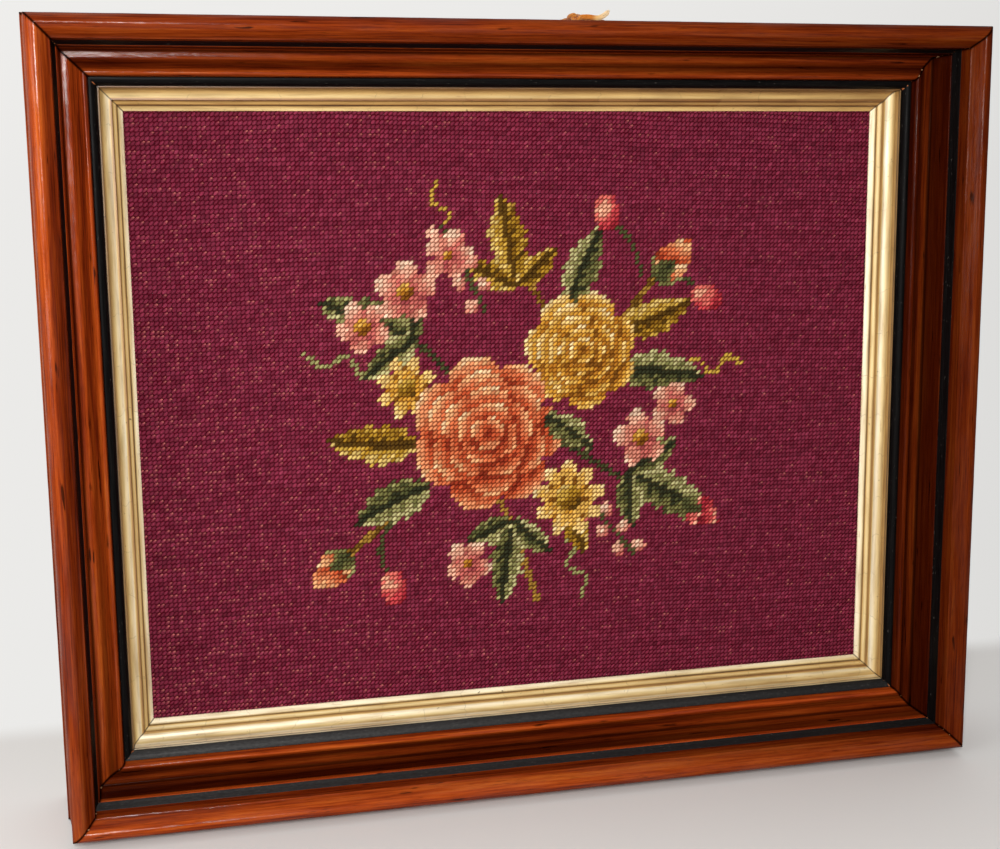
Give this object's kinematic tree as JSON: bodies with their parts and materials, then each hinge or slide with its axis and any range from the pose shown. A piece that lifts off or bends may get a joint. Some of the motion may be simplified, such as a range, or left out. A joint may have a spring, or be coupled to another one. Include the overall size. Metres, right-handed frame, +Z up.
{
  "type": "framed needlework shadow box",
  "caption": "Deep stepped walnut frame with black and gilt inner bands round a wool needlework panel, closed behind by a board under turn buttons and hung by a knotted cord.",
  "frame": {"origin": "on the rear face of the frame's top member, at the middle of its length and of its width", "axes": "+X to the right as seen from the front, +Y into the wall, +Z up"},
  "size_m": [0.5444, 0.0899, 0.4565],
  "materials": {
    "walnut": "glossy varnished walnut, red-brown, fine straight grain",
    "ebonized_wood": "ebonized, semi-gloss black",
    "gilt_wood": "burnished pale gold leaf, lightly worn",
    "wool": "burgundy wool tent stitch with a spray of flowers and leaves",
    "pine": "bare planed pine",
    "board": "bare thin board, aged",
    "brass": "dull brass",
    "steel": "dull steel",
    "cord": "twisted golden-orange cotton cord"
  },
  "bodies": {
    "frame": {"outer_moulding_top": "walnut", "outer_moulding_right": "walnut", "outer_moulding_bottom": "walnut", "outer_moulding_left": "walnut", "outer_fillet_top": "ebonized_wood", "outer_fillet_right": "ebonized_wood", "outer_fillet_bottom": "ebonized_wood", "outer_fillet_left": "ebonized_wood", "inner_moulding_top": "walnut", "inner_moulding_right": "walnut", "inner_moulding_bottom": "walnut", "inner_moulding_left": "walnut", "inner_fillet_top": "ebonized_wood", "inner_fillet_right": "ebonized_wood", "inner_fillet_bottom": "ebonized_wood", "inner_fillet_left": "ebonized_wood", "gilt_liner_top": "gilt_wood", "gilt_liner_right": "gilt_wood", "gilt_liner_bottom": "gilt_wood", "gilt_liner_left": "gilt_wood", "strainer_top": "pine", "strainer_right": "pine", "strainer_bottom": "pine", "strainer_left": "pine", "needlework": "wool", "backing_board": "board", "turn_button_screw_1": "steel", "turn_button_screw_2": "steel", "turn_button_screw_3": "steel", "turn_button_screw_4": "steel", "turn_button_screw_5": "steel", "turn_button_screw_6": "steel", "screw_eye_left": "brass", "screw_eye_right": "brass", "hanging_cord_left": "cord", "hanging_cord_right": "cord", "cord_knot": "cord", "cord_tail": "cord", "cord_stop_left": "cord", "cord_stop_right": "cord"},
    "button_1": {"turn_button_1": "brass"},
    "button_2": {"turn_button_2": "brass"},
    "button_3": {"turn_button_3": "brass"},
    "button_4": {"turn_button_4": "brass"},
    "button_5": {"turn_button_5": "brass"},
    "button_6": {"turn_button_6": "brass"}
  },
  "joints": [
    {"name": "button_1_turn", "type": "hinge", "parent": "frame", "child": "button_1", "pos_m": [-0.12001, -0.0081, -0.01995], "axis": [0, 1, 0], "continuous": true},
    {"name": "button_2_turn", "type": "hinge", "parent": "frame", "child": "button_2", "pos_m": [0.12001, -0.0081, -0.01995], "axis": [0, 1, 0], "continuous": true},
    {"name": "button_3_turn", "type": "hinge", "parent": "frame", "child": "button_3", "pos_m": [0.24575, -0.0081, -0.2167], "axis": [0, 1, 0], "continuous": true},
    {"name": "button_4_turn", "type": "hinge", "parent": "frame", "child": "button_4", "pos_m": [0.12001, -0.0081, -0.41345], "axis": [0, 1, 0], "continuous": true},
    {"name": "button_5_turn", "type": "hinge", "parent": "frame", "child": "button_5", "pos_m": [-0.12001, -0.0081, -0.41345], "axis": [0, 1, 0], "continuous": true},
    {"name": "button_6_turn", "type": "hinge", "parent": "frame", "child": "button_6", "pos_m": [-0.24575, -0.0081, -0.2167], "axis": [0, 1, 0], "continuous": true}
  ]
}
